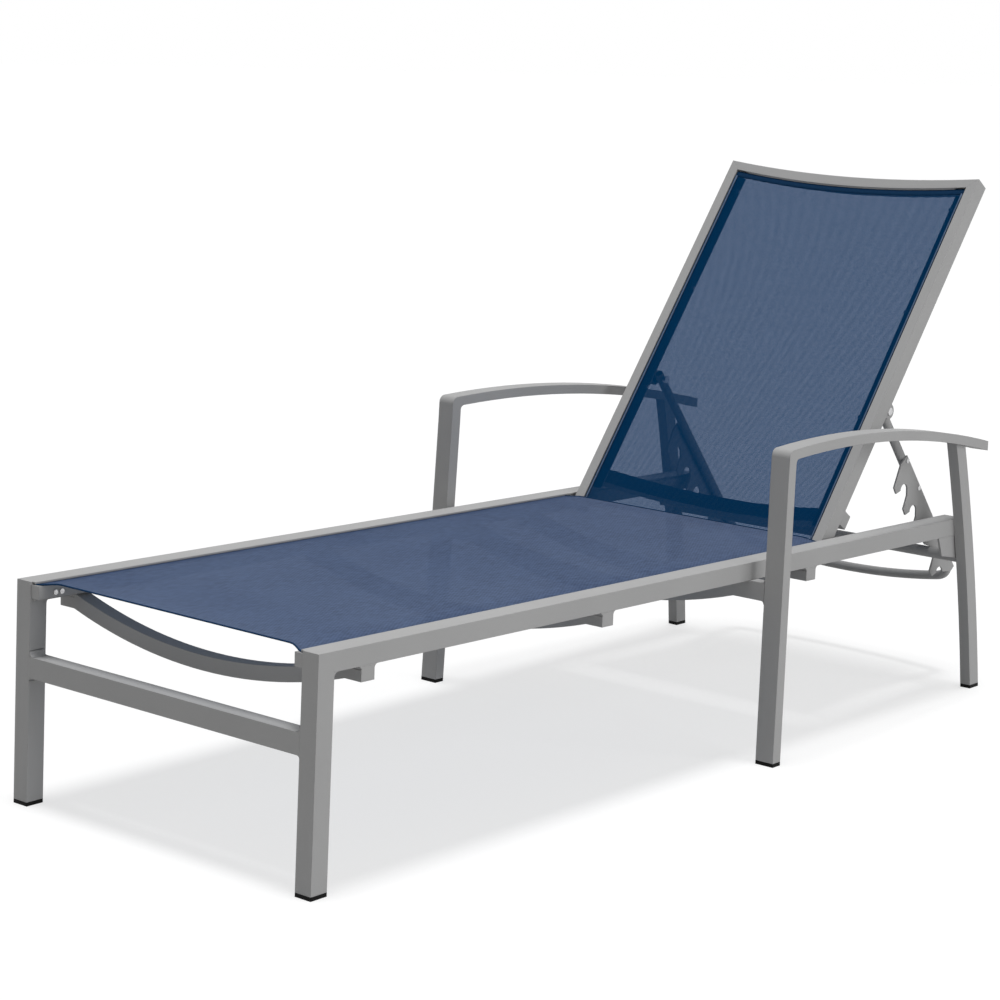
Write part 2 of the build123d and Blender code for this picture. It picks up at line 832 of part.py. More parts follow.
def back_top_rail():
    """The top rail, curved in the plane of the back, closed at its mitres."""
    outer_mid = back_length - back_top_sag
    inner_mid = back_corner - back_top_sag
    edges = [
        ThreePointArc((-back_outer, back_length, 0), (0, outer_mid, 0), (back_outer, back_length, 0)),
        Line((back_outer, back_length, 0), (back_inner, back_corner, 0)),
        ThreePointArc((back_inner, back_corner, 0), (0, inner_mid, 0), (-back_inner, back_corner, 0)),
        Line((-back_inner, back_corner, 0), (-back_outer, back_length, 0)),
    ]
    depth = back_tube_front + back_tube_rear
    rail = Pos(0, 0, -back_tube_rear) * extrude(make_face(edges), amount=depth, dir=(0, 0, 1))
    top = back_length - rail_wall
    low = back_corner + rail_wall
    side = back_inner - rail_wall
    sag_share = (side / back_outer) ** 2
    side_top = outer_mid - rail_wall + back_top_sag * sag_share
    side_low = inner_mid + rail_wall + back_top_sag * sag_share
    hollow = [
        ThreePointArc((-side, side_top, 0), (0, top - back_top_sag, 0), (side, side_top, 0)),
        Line((side, side_top, 0), (side, side_low, 0)),
        ThreePointArc((side, side_low, 0), (0, low - back_top_sag, 0), (-side, side_low, 0)),
        Line((-side, side_low, 0), (-side, side_top, 0)),
    ]
    hollow_low = rail_wall - back_tube_rear
    hollow_depth = depth - rail_wall - rail_wall
    inside = Pos(0, 0, hollow_low) * extrude(make_face(hollow), amount=hollow_depth, dir=(0, 0, 1))
    return back_frame * (rail - inside)


def on_back_spreader(piece):
    """Move a piece drawn at a spreader's flat top to the rear of the back tubes."""
    return back_frame * Pos(0, back_spreader_place, -back_tube_rear) * piece


def back_spreader():
    """The bowed spreader on the rear of the back tubes."""
    tube = bowed_tube(back_spreader_kink, back_spreader_reach, spreader_depth, spreader_height,
                      back_spreader_sag)
    return on_back_spreader(tube)


def back_end_plates():
    """The plates in the ends of the back spreader."""
    return [on_back_spreader(piece) for piece in both_sides(end_plate(back_spreader_reach))]


def back_welds():
    """The rounded welds between the back tubes and the back spreader."""
    beads = spreader_welds(back_inner, back_spreader_reach)
    return [on_back_spreader(piece) for bead in beads for piece in both_sides(bead)]


def flange_screw_shanks():
    """The screws' shanks through the track flange."""
    top = back_tube_front - flange_depth
    return [rod_z(flange_screw_side, place, top - flange_thickness, top, screw_radius)
            for place in flange_screw_places]


def flange_screws():
    """Screws in the track flange, heads towards the sling."""
    top = back_tube_front - flange_depth
    screws = []
    for place, shank in zip(flange_screw_places, flange_screw_shanks()):
        head = rod_z(flange_screw_side, place, top, top + screw_head_height, screw_head_radius)
        screws += both_sides(back_frame * (shank + head))
    return screws


def prop_ear():
    """A lug on the rear face of a back tube."""
    base = -back_tube_rear
    points = [
        (ear_place - ear_front_reach, base),
        (ear_place + ear_back_reach, base),
        (ear_place + ear_radius, -ear_drop),
        (ear_place - ear_radius, -ear_drop),
    ]
    inner = back_inner + ear_start
    outer = inner + ear_thickness
    head = rod_x(inner, outer, ear_place, -ear_drop, ear_radius)
    lug = side_plate(side_polygon(points), inner, outer) + head
    hole = rod_x(inner - overrun, outer + overrun, ear_place, -ear_drop, bolt_radius)
    return back_frame * (lug - hole)


# Fasteners of the hinges


def hinge_bolt():
    """The back's pivot bolt, held in the rail, its head inside the back frame."""
    head_side = back_inner - running_gap
    shank = rod_x(head_side, rail_box_inner + rail_wall + nut_height, pivot_place, pivot_height, bolt_radius)
    return shank + rod_x(head_side - bolt_head_height, head_side, pivot_place, pivot_height, bolt_head_radius)


def hinge_nut():
    """The nut inside the rail."""
    inner = rail_box_inner + rail_wall
    ring = rod_x(inner, inner + nut_height, pivot_place, pivot_height, nut_radius)
    return ring - rod_x(inner - overrun, inner + nut_height + overrun, pivot_place, pivot_height, bolt_radius)


def hinge_bush():
    """The spacer between the back tube and the rail."""
    inner = back_outer + running_gap
    ring = rod_x(inner, rail_inner, pivot_place, pivot_height, bush_radius)
    return ring - rod_x(inner - overrun, rail_inner + overrun, pivot_place, pivot_height, bolt_radius)


def prop_bolt():
    """The prop's pivot bolt, held in the ear."""
    ear_outer = back_inner + ear_start + ear_thickness
    arm_inner = prop_side - prop_radius
    tail = arm_inner - running_gap - nut_height
    shank = rod_x(tail, ear_outer, ear_place, -ear_drop, bolt_radius)
    head = rod_x(ear_outer, ear_outer + ear_head_height, ear_place, -ear_drop, bolt_head_radius)
    return back_frame * (shank + head)


def prop_nut():
    """The nut on the inner end of the prop's pivot bolt."""
    outer = prop_side - prop_radius - running_gap
    inner = outer - nut_height
    ring = rod_x(inner, outer, ear_place, -ear_drop, nut_radius)
    return back_frame * (ring - rod_x(inner - overrun, outer + overrun, ear_place, -ear_drop, bolt_radius))


def track_screws():
    """Two screws at the foot end of each seat track."""
    screws = []
    for place in track_screw_places:
        head = rod_x(track_inner - screw_head_height, track_inner, place, -track_screw_height,
                     screw_head_radius)
        screws += both_sides(seat_frame * (head + track_screw_shank(place)))
    return screws


# Ladder prop


prop_pivot_y, prop_pivot_z = back_point(ear_place, -ear_drop)
prop_frame = Pos(0, prop_pivot_y, prop_pivot_z) * Rot(-prop_angle, 0, 0)


def prop_arm():
    """A straight round tube from the ear to the bend."""
    tube = rod_y(prop_side, -prop_overhang, prop_straight, 0, prop_radius)
    bore_start = -prop_overhang - overrun
    tube = tube - rod_y(prop_side, bore_start, prop_straight + overrun, 0, prop_radius - prop_wall)
    tube = tube - rod_x(0, half_width, 0, 0, bolt_radius + pin_fit)
    for shank in rivet_shanks():
        tube = tube - shank
    return prop_frame * tube


def prop_crossbar():
    """The bowed lower end of the prop, bent up to both arms."""
    corner = prop_side - prop_bend
    meet_angle = math.acos(corner / (prop_bow_radius - prop_bend))
    meet_place = prop_bow_centre + prop_bow_radius * math.sin(meet_angle)
    meet = (prop_bow_radius * math.cos(meet_angle), meet_place, 0)
    mid_place = prop_straight + prop_bend * math.sin(meet_angle / 2)
    bend_mid = (corner + prop_bend * math.cos(meet_angle / 2), mid_place, 0)
    path = Wire([
        Edge.make_three_point_arc((prop_side, prop_straight, 0), bend_mid, meet),
        Edge.make_three_point_arc(meet, (0, prop_length, 0), (-meet[0], meet[1], 0)),
        Edge.make_three_point_arc((-meet[0], meet[1], 0), (-bend_mid[0], bend_mid[1], 0),
                                  (-prop_side, prop_straight, 0)),
    ])
    plane = Plane(origin=(prop_side, prop_straight, 0), z_dir=(0, 1, 0))
    outside = sweep(plane * Circle(prop_radius), path=path)
    inside = sweep(plane * Circle(prop_radius - prop_wall), path=path)
    return prop_frame * (outside - inside)


def rivet_shanks():
    """The rivets' shanks through plate and arm wall."""
    outer = prop_side + prop_radius + plate_thickness
    return [rod_x(outer - rivet_reach, outer, place, 0, rivet_radius) for place in rivet_places]


def notched_plate():
    """The plate on an arm, with a row of notches that open downwards."""
    turn = math.radians(prop_angle)
    opening = (math.sin(turn), math.cos(turn))
    start = notch_first - plate_head
    edges = []
    here = (0, start, -plate_head_height)

    def line_to(along, forward):
        nonlocal here
        there = (0, along, -forward)
        edges.append(Line(here, there))
        here = there

    for number in range(1, notch_count + 1):
        ceiling = notch_first + notch_pitch * (number - 1)
        centre = notch_seat(number)
        if number == notch_used:
            line_to(ceiling - stub_before, stub_height)
            line_to(ceiling - stub_tip_before, stub_tip_height)
        else:
            line_to(ceiling - hook_before, hook_height)
            line_to(ceiling - tip_before, tip_height)
            line_to(centre[0] - notch_radius * opening[1], centre[1] + notch_radius * opening[0])
        arc_start = here
        arc_mid = (0, centre[0] - notch_radius * opening[0], -centre[1] + notch_radius * opening[1])
        arc_end = (0, centre[0] + notch_radius * opening[1], -centre[1] + notch_radius * opening[0])
        if number == notch_used:
            line_to(arc_mid[1], -arc_mid[2])
            arc_start = here
            arc_mid = (0, centre[0], -centre[1] + notch_radius)
        edges.append(ThreePointArc(arc_start, arc_mid, arc_end))
        here = arc_end
        if number < notch_count:
            line_to(ceiling + notch_pitch - root_before, root_height)
    finish = notch_first + notch_pitch * (notch_count - 1) + plate_tail
    line_to(finish, prop_radius)
    line_to(finish, -plate_back)
    line_to(start, -plate_back)
    line_to(start, plate_head_height)
    inner = prop_side + prop_radius
    plate = side_plate(edges, inner, inner + plate_thickness)
    for shank in rivet_shanks():
        plate = plate - shank
    return prop_frame * plate


def plate_rivets():
    """Rivets with round heads on the outer face of each notched plate."""
    outer = prop_side + prop_radius + plate_thickness
    rivets = []
    for place, shank in zip(rivet_places, rivet_shanks()):
        head = rod_x(outer, outer + rivet_head_height, place, 0, rivet_head_radius)
        rivets += both_sides(prop_frame * (shank + head))
    return rivets


def prop_washer():
    """The washer between an arm and its ear."""
    inner = prop_side + prop_radius
    outer = back_inner + ear_start - running_gap
    ring = rod_x(inner, outer, 0, 0, bush_radius)
    return prop_frame * (ring - rod_x(inner - overrun, outer + overrun, 0, 0, bolt_radius + pin_fit))


# End plugs


def rail_plug():
    """The plug in the rear end of a seat rail."""
    inset = rail_wall + plug_fit
    body = block(rail_box_inner + inset, half_width - inset, rail_length - plug_depth, rail_length,
                 inset - rail_height, -inset)
    lip = block(rail_inner, half_width, rail_length, rail_length + plug_lip, -rail_height, 0)
    return seat_frame * (body + lip)


def track_plug():
    """The plug in the foot end of a sling track."""
    plug = block(track_inner, rail_box_inner - plug_fit, track_start - plug_lip, track_start - plug_fit,
                 -track_height, -track_lip_depth)
    return seat_frame * plug


def back_plug():
    """The plug in the lower end of a back tube."""
    inset = rail_wall + plug_fit
    body = block(back_inner + back_track_wall + plug_fit, back_outer - inset, -back_tube_foot,
                 -bolt_radius - plug_lip - plug_lip, inset - back_tube_rear, back_tube_front - inset)
    return back_frame * body


def build_parts():
    """Make every node of the chaise."""
    add_pair("seat_rail", seat_rail())
    add_pair("foot_leg", foot_leg())
    add_one("foot_crossbar", foot_crossbar())
    for name, place in zip(("front", "middle", "rear"), spreader_places):
        add_one("seat_spreader_" + name, seat_spreader(place))
    add_group("spreader_end_plates", spreader_end_plates())
    add_one("arm_cross_tube", arm_cross_tube())
    add_group("frame_welds", frame_welds())
    add_pair("arm_frame", arm_frame())
    add_pair("rear_leg", rear_leg())
    add_one("support_bar", support_bar())
    add_pair("bar_gusset", bar_gusset())
    add_group("foot_leg_caps", both_sides(foot_leg_cap()))
    add_group("arm_leg_caps", both_sides(arm_leg_cap()))
    add_group("rear_leg_caps", both_sides(rear_leg_cap()))
    add_group("armrest_plugs", both_sides(armrest_plug()))
    add_group("rail_plugs", both_sides(rail_plug()))
    add_group("track_plugs", both_sides(track_plug()))
    add_one("seat_sling", seat_sling())
    add_group("seat_sling_rods", seat_sling_rods())
    add_group("spreader_screws", spreader_screws())
    add_group("track_screws", track_screws())
    add_group("hinge_bolts", both_sides(hinge_bolt()))
    add_group("hinge_nuts", both_sides(hinge_nut()))
    add_group("hinge_bushes", both_sides(hinge_bush()))
    add_pair("back_tube", back_tube())
    add_one("back_top_rail", back_top_rail())
    add_one("back_spreader", back_spreader())
    add_group("back_end_plates", back_end_plates())
    add_group("back_welds", back_welds())
    add_one("back_sling", back_sling())
    add_group("back_sling_rods", back_sling_rods())
    add_group("flange_screws", flange_screws())
    add_group("back_plugs", both_sides(back_plug()))
    add_pair("prop_ear", prop_ear())
    add_group("prop_bolts", both_sides(prop_bolt()))
    add_group("prop_nuts", both_sides(prop_nut()))
    add_pair("prop_arm", prop_arm())
    add_one("prop_crossbar", prop_crossbar())
    add_pair("notched_plate", notched_plate())
    add_group("plate_rivets", plate_rivets())
    add_group("prop_washers", both_sides(prop_washer()))


def write_parts():
    """Move the origin under the middle of the whole chaise and write one file for each node."""
    boxes = [piece.bounding_box() for pieces in parts.values() for piece in pieces]
    low = min(box.min.Y for box in boxes)
    high = max(box.max.Y for box in boxes)
    move = -(low + high) / 2
    for name, pieces in parts.items():
        solids = [Pos(0, move, 0) * solid for piece in pieces for solid in piece.solids()]
        node = solids[0] if len(solids) == 1 else Compound(children=solids)
        export_step(node, "parts/" + name + ".step")
    bar_y, bar_z = bar_centre()
    print("origin moved by", round(move, 3))
    print("pivot", round(pivot_place + move, 3), pivot_height)
    print("prop pivot", round(prop_pivot_y + move, 3), round(prop_pivot_z, 3))
    print("support bar", round(bar_y + move, 3), round(bar_z, 3))
    print("rail angle", round(rail_angle, 4), "length", round(high - low, 2))


build_parts()
write_parts()
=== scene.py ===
import json
import math

import bpy
from mathutils import Matrix, Vector


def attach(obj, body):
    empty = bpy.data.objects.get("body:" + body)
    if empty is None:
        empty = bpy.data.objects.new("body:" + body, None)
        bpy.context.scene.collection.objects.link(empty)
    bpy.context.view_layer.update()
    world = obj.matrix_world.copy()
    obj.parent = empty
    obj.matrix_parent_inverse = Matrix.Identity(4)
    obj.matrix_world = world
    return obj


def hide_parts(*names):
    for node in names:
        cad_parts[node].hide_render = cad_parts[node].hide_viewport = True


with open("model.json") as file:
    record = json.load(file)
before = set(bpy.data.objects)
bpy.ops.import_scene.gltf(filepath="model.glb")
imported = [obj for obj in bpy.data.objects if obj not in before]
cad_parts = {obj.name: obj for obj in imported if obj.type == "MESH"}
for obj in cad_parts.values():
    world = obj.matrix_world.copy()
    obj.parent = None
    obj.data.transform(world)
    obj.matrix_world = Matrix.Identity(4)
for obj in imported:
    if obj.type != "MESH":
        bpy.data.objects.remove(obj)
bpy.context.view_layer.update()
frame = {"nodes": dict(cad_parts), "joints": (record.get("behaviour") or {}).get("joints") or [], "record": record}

# All lengths are in metres. The chaise's own places are measured from the top front edge of the
# foot-end legs. On the slings, x runs from the middle line, y towards the head end and z upwards.
PIVOT_PLACE = 1.2086
BACK_ANGLE = math.radians(53.19)
RAIL_TOP = 0.3338
RAIL_DROP = 0.030
RAIL_DROP_RUN = 1.515
RAIL_FALL = math.atan(RAIL_DROP / RAIL_DROP_RUN)

# Seat sling. The side, the mouth and the flat are distances from the middle line: of the cloth's edge
# inside the track, of the track's mouth and of the place where the cloth begins to dip.
SEAT_SIDE = 0.2773
SEAT_MOUTH = 0.2735
SEAT_FLAT = 0.236
SEAT_CORNER = 0.004
SEAT_START = 0.018
SEAT_END = 1.184
SEAT_EDGE_LEVEL = -0.0036
SEAT_LEVEL = 0.0002
SEAT_GRID = (120, 120)

# Back sling, in the back's own turned frame
BACK_SIDE = 0.2507
BACK_INNER = 0.2464
BACK_START = -0.006
BACK_END = 0.7015
BACK_SAG = 0.016
BACK_LEVEL = 0.010
BACK_GRID = (80, 100)

# Hems and edge beads
HEM_RADIUS = 0.0013
HEM_INSET = 0.0015
HEM_SIDES = 12
HEM_STEPS = 60
FRONT_HEM_STEPS = 80
TOP_BAND = 0.0115
TOP_BAND_INSET = 0.001
TOP_BAND_THICKNESS = 0.0024
BEAD_INSET = 0.0042
BEAD_BREADTH = 0.003
BEAD_HEIGHT = 0.0034
BEAD_LEVEL = 0.0118
BEAD_STEPS = 40

# Weave
WARP_PITCH = 0.0013
WEFT_PITCH = 0.0021
TWILL_REPEAT = 4.0
TWILL_OVER = 2.0

# Mitres between the rails and the foot-end legs: the cut's slope, half of the ground strip's width, how
# far the strip reaches along the rail, and the distance from the middle line where the rails begin
MITRE_SLOPE = (0.0283, RAIL_DROP)
MITRE_HALF_WIDTH = 0.003
MITRE_REACH = 0.045
MITRE_INSIDE = 0.279

# Rounded edges and surface grain
EDGE_RADIUS = 0.0016
CAP_EDGE_RADIUS = 0.0012
EDGE_SAMPLES = 4
COATING_GRAIN_DEPTH = 0.0003
STEEL_GRAIN_DEPTH = 0.0002
PLASTIC_GRAIN_DEPTH = 0.0002
YARN_DEPTH = 0.0002
HEM_GRAIN_DEPTH = 0.0003

# Colours, each as red, green, blue and opacity
COATING_DARK = (0.360, 0.360, 0.360, 1)
COATING_LIGHT = (0.390, 0.390, 0.390, 1)
COATING_SPECK = (0.402, 0.402, 0.402, 1)
# Painted highlight laid along the rounded edges of the tubes
PAINTED_EDGE_HIGHLIGHT = (0.55, 0.55, 0.55, 1)
STEEL_CLEAN = (0.62, 0.62, 0.63, 1)
STEEL_STAIN = (0.5, 0.5, 0.5, 1)
PLASTIC_CLEAN = (0.004, 0.004, 0.004, 1)
PLASTIC_DUST = (0.014, 0.014, 0.013, 1)
# The seat's tones are the navy fabric lightened by a painted sheen, a whitish glancing reflection, since the
# fabric's own gloss is off
SEAT_TONES_WITH_PAINTED_SHEEN = ((0.044, 0.062, 0.122, 1), (0.108, 0.162, 0.298, 1))
BACK_TONES = ((0.0010, 0.033, 0.098, 1), (0.0012, 0.037, 0.106, 1))
HEM_TONES = ((0.0015, 0.024, 0.070, 1), (0.003, 0.032, 0.088, 1))
# The edge beads' tones are a painted highlight: the navy fabric folded over the rod, painted light as if lit
BEAD_TONES_WITH_PAINTED_HIGHLIGHT = ((0.080, 0.120, 0.200, 1), (0.120, 0.170, 0.260, 1))
YARN_LIT_THROUGH = (0.30, 0.36, 0.45, 1)
GAP_TINT = (0.61, 0.735, 1.0, 1)
FLOOR_GREY = (0.5, 0.5, 0.5, 1)
FLOOR_DIMMED = (0.37, 0.37, 0.37, 1)
WHITE = (1, 1, 1, 1)

# Stage and light
FLOOR_RADIUS = 30.0
FLOOR_SIDES = 64
FLOOR_GLOW = 0.645
SURROUND_LIGHT = 0.32
SURROUND_SEEN = 1.0
SUN_STRENGTH = 2.1
SUN_SPREAD = math.radians(15)
LAMP_SIZE = 4.5
LAMP_ENERGY = 175.0
LAMP_PLACE = (6.5, 0.9, 2.4)
LAMP_TARGET = (0, 0, 0.3)

# Camera, matched to the photograph, which is taken as 1000 pixels square. The sensor is in millimetres.
IMAGE = 1000
SENSOR = 36.0
FOCAL_PIXELS = 2719.09
CENTRE_X = 547.9
CENTRE_Y = 457.07
CAMERA_AZIMUTH = math.radians(40.512)
CAMERA_ELEVATION = math.radians(10.043)
CAMERA_ROLL = math.radians(1.3477)
CAMERA_PLACE = Vector((2.76405, -2.42297, 1.21045))
CAMERA_REACH = 200.0

pivot = Vector(frame["joints"][0]["pos_m"])
front = pivot.y - PIVOT_PLACE
seat_matrix = Matrix.Translation((0, front, RAIL_TOP)) @ Matrix.Rotation(-RAIL_FALL, 4, "X")
back_matrix = Matrix.Translation(pivot) @ Matrix.Rotation(BACK_ANGLE, 4, "X")


# Materials


class Nodes:
    """A node tree, with short calls to add and join nodes."""

    def __init__(self, tree):
        self.tree = tree

    def node(self, kind, inputs=None, **settings):
        """Add a node, set its properties, and set or join its inputs."""
        made = self.tree.nodes.new("ShaderNode" + kind)
        for key, value in settings.items():
            setattr(made, key, value)
        for key, value in (inputs or {}).items():
            self.put(made.inputs[key], value)
        return made

    def put(self, socket, value):
        """Give a socket a value, or join it to another node's output."""
        if isinstance(value, bpy.types.NodeSocket):
            self.tree.links.new(value, socket)
        else:
            socket.default_value = value

    def math(self, operation, *values):
        """The result of a math node."""
        made = self.node("Math", dict(enumerate(values)), operation=operation)
        return made.outputs[0]

    def ramp(self, value, low, high, start=0.0, end=1.0):
        """Map a value smoothly from one range to another."""
        inputs = {"Value": value, "From Min": low, "From Max": high, "To Min": start, "To Max": end}
        return self.node("MapRange", inputs, interpolation_type="SMOOTHSTEP").outputs[0]

    def seen(self):
        """1 where the camera looks, directly or in a reflection, and 0 for light that falls on things."""
        light = self.node("LightPath").outputs
        return self.math("MAXIMUM", light["Is Camera Ray"], light["Is Glossy Ray"])


class Shader(Nodes):
    """A material's node tree."""

    def __init__(self, name):
        self.material = bpy.data.materials.new(name)
        self.material.use_nodes = True
        super().__init__(self.material.node_tree)
        self.surface = self.tree.nodes["Principled BSDF"]

    def set(self, **values):
        """Set the surface's sockets by name, with underscores for spaces."""
        for key, value in values.items():
            self.put(self.surface.inputs[key.replace("_", " ")], value)

    def show(self, output):
        """Make a shader's output the material's surface."""
        self.tree.links.new(output, self.tree.nodes["Material Output"].inputs["Surface"])

    def place(self):
        """The object's coordinates, in metres."""
        return self.node("TexCoord").outputs["Object"]

    def stretched(self, scale, vector=None):
        """Coordinates scaled along each axis."""
        return self.node("Mapping", {"Vector": vector or self.place(), "Scale": scale}).outputs[0]

    def noise(self, scale, detail, roughness=0.5, vector=None):
        """A noise texture over the object's own coordinates, or over others."""
        inputs = {"Scale": scale, "Detail": detail, "Roughness": roughness}
        inputs["Vector"] = vector or self.place()
        return self.node("TexNoise", inputs).outputs["Fac"]

    def mix(self, share, first, second):
        """Mix two colours."""
        made = self.node("Mix", data_type="RGBA")
        self.put(made.inputs[0], share)
        self.put(made.inputs[6], first)
        self.put(made.inputs[7], second)
        return made.outputs[2]

    def rounded(self, radius):
        """The normal with rounded edges."""
        return self.node("Bevel", {"Radius": radius}, samples=EDGE_SAMPLES).outputs[0]

    def bump(self, height, strength, distance, normal=None):
        """A bump from a height."""
        inputs = {"Height": height, "Strength": strength, "Distance": distance}
        if normal:
            inputs["Normal"] = normal
        return self.node("Bump", inputs).outputs["Normal"]


def coated_metal():
    """Grey powder-coated tube: fine grain, faint cloudiness and softly rounded edges with a painted highlight
    along them.
    """
    shader = Shader("frame_coating")
    cloud = shader.noise(scale=7.0, detail=3.0)
    grain = shader.noise(scale=1400.0, detail=2.0, roughness=0.6)
    cloudy = shader.mix(shader.ramp(cloud, low=0.3, high=0.7), COATING_DARK, COATING_LIGHT)
    speckled = shader.mix(shader.ramp(grain, low=0.25, high=0.75), cloudy, COATING_SPECK)
    rounded = shader.rounded(shader.math("MULTIPLY", away_from_mitre(shader), EDGE_RADIUS))
    flat = shader.node("NewGeometry").outputs["Normal"]
    same = shader.node("VectorMath", {0: rounded, 1: flat}, operation="DOT_PRODUCT").outputs["Value"]
    # Painted highlight: the colour turns lighter where the rounded normal leans away from the flat one, along the
    # edges
    colour = shader.mix(shader.ramp(same, low=1.0, high=0.8, end=0.6), speckled, PAINTED_EDGE_HIGHLIGHT)
    roughness = shader.ramp(grain, low=0.2, high=0.8, start=0.6, end=0.72)
    normal = shader.bump(grain, strength=0.12, distance=COATING_GRAIN_DEPTH, normal=rounded)
    shader.set(Base_Color=colour, Roughness=roughness, Specular_IOR_Level=0.15, Normal=normal)
    return shader.material


def away_from_mitre(shader):
    """0 on the welded and ground mitre between a rail and its foot-end leg, 1 elsewhere."""
    axes = shader.node("SeparateXYZ", {"Vector": shader.place()}).outputs
    run, rise = MITRE_SLOPE
    size = math.hypot(run, rise)
    along = shader.math("MULTIPLY_ADD", axes["Y"], run / size, -front * run / size)
    distance = shader.math("MULTIPLY_ADD", axes["Z"], rise / size, -RAIL_TOP * rise / size)
    distance = shader.math("ABSOLUTE", shader.math("ADD", along, distance))
    far = shader.math("GREATER_THAN", distance, MITRE_HALF_WIDTH)
    beyond = shader.math("GREATER_THAN", axes["Y"], front + MITRE_REACH)
    inside = shader.math("LESS_THAN", shader.math("ABSOLUTE", axes["X"]), MITRE_INSIDE)
    return shader.math("MAXIMUM", shader.math("MAXIMUM", far, beyond), inside)


def steel():
    """Brushed steel of bolts, screws and rivets."""
    shader = Shader("fastener_steel")
    streaks = shader.noise(scale=2600.0, detail=3.0, roughness=0.6, vector=shader.stretched((1.0, 0.15, 1.0)))
    stain = shader.noise(scale=160.0, detail=2.0)
    colour = shader.mix(shader.ramp(stain, low=0.35, high=0.7), STEEL_CLEAN, STEEL_STAIN)
    roughness = shader.ramp(streaks, low=0.3, high=0.7, start=0.22, end=0.4)
    normal = shader.bump(streaks, strength=0.15, distance=STEEL_GRAIN_DEPTH)
    shader.set(Base_Color=colour, Metallic=1.0, Roughness=roughness, Normal=normal)
    return shader.material


def black_plastic():
    """Moulded black plastic with a fine leather-like texture."""
    shader = Shader("cap_plastic")
    cells = shader.node("TexVoronoi", {"Vector": shader.place(), "Scale": 1500.0}).outputs["Distance"]
    dust = shader.noise(scale=60.0, detail=4.0)
    colour = shader.mix(shader.ramp(dust, low=0.45, high=0.8), PLASTIC_CLEAN, PLASTIC_DUST)
    roughness = shader.ramp(dust, low=0.3, high=0.8, start=0.5, end=0.65)
    rounded = shader.rounded(CAP_EDGE_RADIUS)
    normal = shader.bump(cells, strength=0.2, distance=PLASTIC_GRAIN_DEPTH, normal=rounded)
    shader.set(Base_Color=colour, Roughness=roughness, Specular_IOR_Level=0.08, Normal=normal)
    return shader.material


def woven_mesh(name, turn, tones, openness, glow, slub_shape, slub_depth):
    """Coated yarn woven in a twill, see-through between its yarns.

    The weave lies in the sling's plane, which is turned about X. Openness is the share of a gap that
    lets light straight through, and glow the share of the yarns that scatters it. Slubs are uneven
    places in the yarns: their shape is how many there are in a metre, along each axis.
    """
    shader = Shader(name)
    flat = shader.node("Mapping", {"Vector": shader.place(), "Rotation": (-turn, 0, 0)}).outputs[0]
    axes = shader.node("SeparateXYZ", {"Vector": flat}).outputs
    across = shader.math("DIVIDE", axes["X"], WARP_PITCH)
    along = shader.math("DIVIDE", axes["Y"], WEFT_PITCH)

    def from_yarn(value):
        """0 on a yarn's middle line and 1 between two yarns."""
        share = shader.math("FRACT", value)
        return shader.math("ABSOLUTE", shader.math("MULTIPLY_ADD", share, 2.0, -1.0))

    def gap_share(distance):
        """0 on a yarn and 1 in a gap."""
        return shader.ramp(distance, low=0.15, high=0.85)

    warp = from_yarn(across)
    weft = from_yarn(along)
    hole = shader.math("MULTIPLY", gap_share(warp), gap_share(weft))
    order = shader.math("ADD", shader.math("FLOOR", across), shader.math("FLOOR", along))
    over = shader.math("LESS_THAN", shader.math("FLOORED_MODULO", order, TWILL_REPEAT), TWILL_OVER)
    yarn = shader.mix(over, warp, weft)
    yarn_height = shader.math("SUBTRACT", 1.0, shader.math("MULTIPLY", yarn, yarn))
    cloud = shader.noise(scale=9.0, detail=3.0)
    slub = shader.noise(scale=1.0, detail=3.0, roughness=0.6, vector=shader.stretched(slub_shape, flat))

    low, high = tones
    slub_tone = shader.math("MULTIPLY", shader.ramp(slub, low=0.3, high=0.7), 0.7)
    yarn_tone = shader.mix(shader.math("MULTIPLY_ADD", over, 0.3, slub_tone), low, high)
    darker = tuple(0.9 * value for value in high[:3]) + (1,)
    cloudiness = shader.math("MULTIPLY", shader.ramp(cloud, low=0.3, high=0.7), 0.25)
    colour = shader.mix(cloudiness, yarn_tone, darker)
    shader.set(Base_Color=colour, Roughness=0.6, Specular_IOR_Level=0.0,
               Normal=shader.bump(yarn_height, strength=0.12, distance=YARN_DEPTH))

    lit_through = shader.node("BsdfTranslucent", {"Color": YARN_LIT_THROUGH}).outputs[0]
    yarns = shader.node("MixShader", {0: glow, 1: shader.surface.outputs[0], 2: lit_through}).outputs[0]
    gap = shader.node("BsdfTransparent", {"Color": GAP_TINT}).outputs[0]
    casts_shadow = shader.node("LightPath").outputs["Is Shadow Ray"]
    seen_through = shader.math("SUBTRACT", 1.0, casts_shadow)
    most = (1 + slub_depth) * openness
    least = (1 - slub_depth) * openness
    uneven = shader.ramp(slub, low=0.3, high=0.7, start=most, end=least)
    share = shader.math("MULTIPLY", shader.math("MULTIPLY", hole, uneven), seen_through)
    shader.show(shader.node("MixShader", {0: share, 1: yarns, 2: gap}).outputs[0])
    return shader.material


def hem_cloth(name, tones):
    """Folded double mesh of hems, with no light through it."""
    shader = Shader(name)
    weave = shader.node("TexWave", {"Vector": shader.place(), "Scale": 500.0, "Distortion": 0.5},
                        bands_direction="X").outputs["Fac"]
    slub = shader.noise(scale=500.0, detail=2.0)
    shader.set(Base_Color=shader.mix(shader.ramp(slub, low=0.3, high=0.7), *tones), Roughness=0.7,
               Specular_IOR_Level=0.08, Normal=shader.bump(weave, strength=0.3, distance=HEM_GRAIN_DEPTH))
    return shader.material


def dress(obj, material):
    """Give every slot of an object one material."""
    obj.data.materials.clear()
    obj.data.materials.append(material)


coating = coated_metal()
fastener = steel()
plastic = black_plastic()
